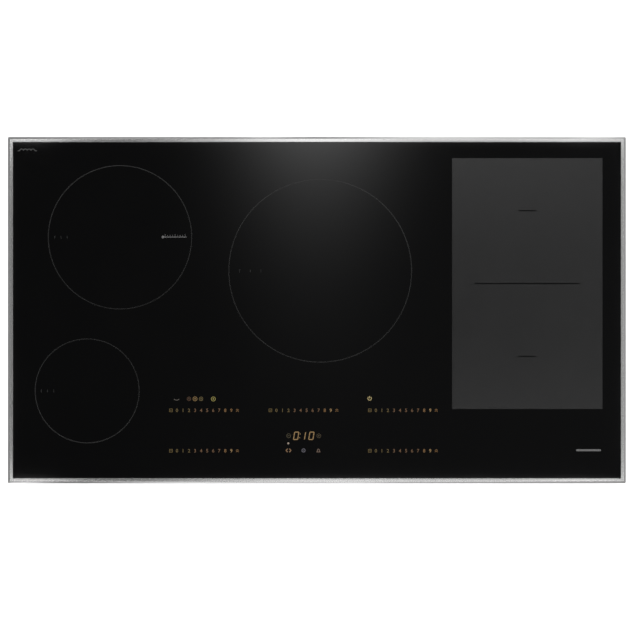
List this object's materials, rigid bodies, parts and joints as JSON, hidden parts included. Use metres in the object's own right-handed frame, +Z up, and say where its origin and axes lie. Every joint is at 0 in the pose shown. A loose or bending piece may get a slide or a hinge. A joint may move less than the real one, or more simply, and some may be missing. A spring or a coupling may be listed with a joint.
{
  "type": "induction cooktop",
  "caption": "Framed built-in induction cooktop with round zones, a rectangular flexible zone and front touch controls in black glass, over a stepped sheet-steel casing.",
  "frame": {"origin": "middle of the outline, at the casing underside on which the cooktop stands when it lies on a bench; the worktop surface is the plane 51 mm above it", "axes": "+X towards the user's right, +Y towards the rear, +Z up out of the glass"},
  "size_m": [0.942, 0.528, 0.0594],
  "materials": {
    "glass": "polished black glass ceramic with fine grey printed zone lines",
    "brushed_steel": "brushed stainless steel",
    "zinc_sheet": "bare zinc-coated steel sheet, dull",
    "foam": "closed-cell black foam tape",
    "silicone": "black silicone bead",
    "aluminium": "mill-finish sheet and extrusion",
    "copper_litz": "wound copper litz wire",
    "former_plastic": "glass-filled moulding with ferrite bars",
    "mica": "pressed mica sheet",
    "spring_steel": "plain spring steel and plated screws",
    "circuit_board": "green circuit board with its parts soldered on",
    "black_plastic": "black moulded plastic",
    "grey_plastic": "grey moulded plastic",
    "white_ceramic": "unglazed white ceramic",
    "ribbon_cable": "flat grey cable"
  },
  "bodies": {
    "cooktop": {"glass_panel": "glass", "steel_frame": "brushed_steel", "casing_tray": "zinc_sheet", "worktop_gasket": "foam", "glass_adhesive": "silicone", "shield_plate": "aluminium", "heatsink_left": "aluminium", "heatsink_right": "aluminium", "coil_spring_left": "spring_steel", "coil_spring_centre": "spring_steel", "coil_spring_right": "spring_steel", "casing_screw_front_left": "spring_steel", "casing_screw_front_right": "spring_steel", "casing_screw_rear_left": "spring_steel", "casing_screw_rear_right": "spring_steel", "power_board_left": "circuit_board", "power_board_right": "circuit_board", "mains_filter_board": "circuit_board", "control_board": "circuit_board", "fan_housing_left": "black_plastic", "fan_housing_right": "black_plastic", "control_carrier": "black_plastic", "cable_gland": "black_plastic", "display_module": "grey_plastic", "terminal_box": "grey_plastic", "terminal_block": "white_ceramic", "control_ribbon_cable": "ribbon_cable"},
    "coil_group_left": {"coil_plate_left": "aluminium", "coil_former_rear_left": "former_plastic", "coil_former_front_left": "former_plastic", "coil_rear_left": "copper_litz", "coil_front_left": "copper_litz", "sensor_rear_left": "white_ceramic", "sensor_front_left": "white_ceramic", "mica_sheet_left": "mica"},
    "coil_group_centre": {"coil_plate_centre": "aluminium", "coil_former_centre": "former_plastic", "coil_centre_inner": "copper_litz", "coil_centre_outer": "copper_litz", "sensor_centre": "white_ceramic", "mica_sheet_centre": "mica"},
    "coil_group_right": {"coil_plate_right": "aluminium", "coil_former_flex_rear": "former_plastic", "coil_former_flex_front": "former_plastic", "coil_flex_rear": "copper_litz", "coil_flex_front": "copper_litz", "sensor_flex_rear": "white_ceramic", "sensor_flex_front": "white_ceramic", "mica_sheet_right": "mica"},
    "rotor_left": {"fan_rotor_left": "grey_plastic"},
    "rotor_right": {"fan_rotor_right": "grey_plastic"},
    "connection_lid": {"terminal_box_lid": "grey_plastic"},
    "clamp_lift_front_left": {"clamp_screw_front_left": "spring_steel"},
    "clamp_strap_front_left": {"clamp_arm_front_left": "brushed_steel"},
    "clamp_lift_front_right": {"clamp_screw_front_right": "spring_steel"},
    "clamp_strap_front_right": {"clamp_arm_front_right": "brushed_steel"},
    "clamp_lift_rear_left": {"clamp_screw_rear_left": "spring_steel"},
    "clamp_strap_rear_left": {"clamp_arm_rear_left": "brushed_steel"},
    "clamp_lift_rear_right": {"clamp_screw_rear_right": "spring_steel"},
    "clamp_strap_rear_right": {"clamp_arm_rear_right": "brushed_steel"}
  },
  "joints": [
    {"name": "fan_spin_left", "type": "hinge", "parent": "cooktop", "child": "rotor_left", "pos_m": [-0.285, 0.105, 0.0157], "axis": [0, 0, 1], "continuous": true},
    {"name": "fan_spin_right", "type": "hinge", "parent": "cooktop", "child": "rotor_right", "pos_m": [0.285, 0.105, 0.0157], "axis": [0, 0, 1], "continuous": true},
    {"name": "coil_float_left", "type": "slide", "parent": "cooktop", "child": "coil_group_left", "axis": [0, 0, 1], "range_m": [-0.003, 0], "stiffness_N_per_m": 7000, "springref_m": 0.007, "deforming": ["coil_spring_left"]},
    {"name": "coil_float_centre", "type": "slide", "parent": "cooktop", "child": "coil_group_centre", "axis": [0, 0, 1], "range_m": [-0.003, 0], "stiffness_N_per_m": 7000, "springref_m": 0.007, "deforming": ["coil_spring_centre"]},
    {"name": "coil_float_right", "type": "slide", "parent": "cooktop", "child": "coil_group_right", "axis": [0, 0, 1], "range_m": [-0.003, 0], "stiffness_N_per_m": 7000, "springref_m": 0.007, "deforming": ["coil_spring_right"]},
    {"name": "clamp_draw_front_left", "type": "slide", "parent": "cooktop", "child": "clamp_lift_front_left", "axis": [0, 0, 1], "range_m": [0, 0.014]},
    {"name": "clamp_swing_front_left", "type": "hinge", "parent": "clamp_lift_front_left", "child": "clamp_strap_front_left", "pos_m": [-0.4435, -0.15, 0.007], "axis": [0, 0, 1], "range_deg": [0, 90]},
    {"name": "clamp_draw_front_right", "type": "slide", "parent": "cooktop", "child": "clamp_lift_front_right", "axis": [0, 0, 1], "range_m": [0, 0.014]},
    {"name": "clamp_swing_front_right", "type": "hinge", "parent": "clamp_lift_front_right", "child": "clamp_strap_front_right", "pos_m": [0.4435, -0.15, 0.007], "axis": [0, 0, -1], "range_deg": [0, 90]},
    {"name": "clamp_draw_rear_left", "type": "slide", "parent": "cooktop", "child": "clamp_lift_rear_left", "axis": [0, 0, 1], "range_m": [0, 0.014]},
    {"name": "clamp_swing_rear_left", "type": "hinge", "parent": "clamp_lift_rear_left", "child": "clamp_strap_rear_left", "pos_m": [-0.4435, 0.15, 0.007], "axis": [0, 0, -1], "range_deg": [0, 90]},
    {"name": "clamp_draw_rear_right", "type": "slide", "parent": "cooktop", "child": "clamp_lift_rear_right", "axis": [0, 0, 1], "range_m": [0, 0.014]},
    {"name": "clamp_swing_rear_right", "type": "hinge", "parent": "clamp_lift_rear_right", "child": "clamp_strap_rear_right", "pos_m": [0.4435, 0.15, 0.007], "axis": [0, 0, 1], "range_deg": [0, 90]},
    {"name": "connection_lid_hinge", "type": "hinge", "parent": "cooktop", "child": "connection_lid", "pos_m": [0, 0.2417, 0.0039], "axis": [-1, 0, 0], "range_deg": [0, 90]}
  ]
}
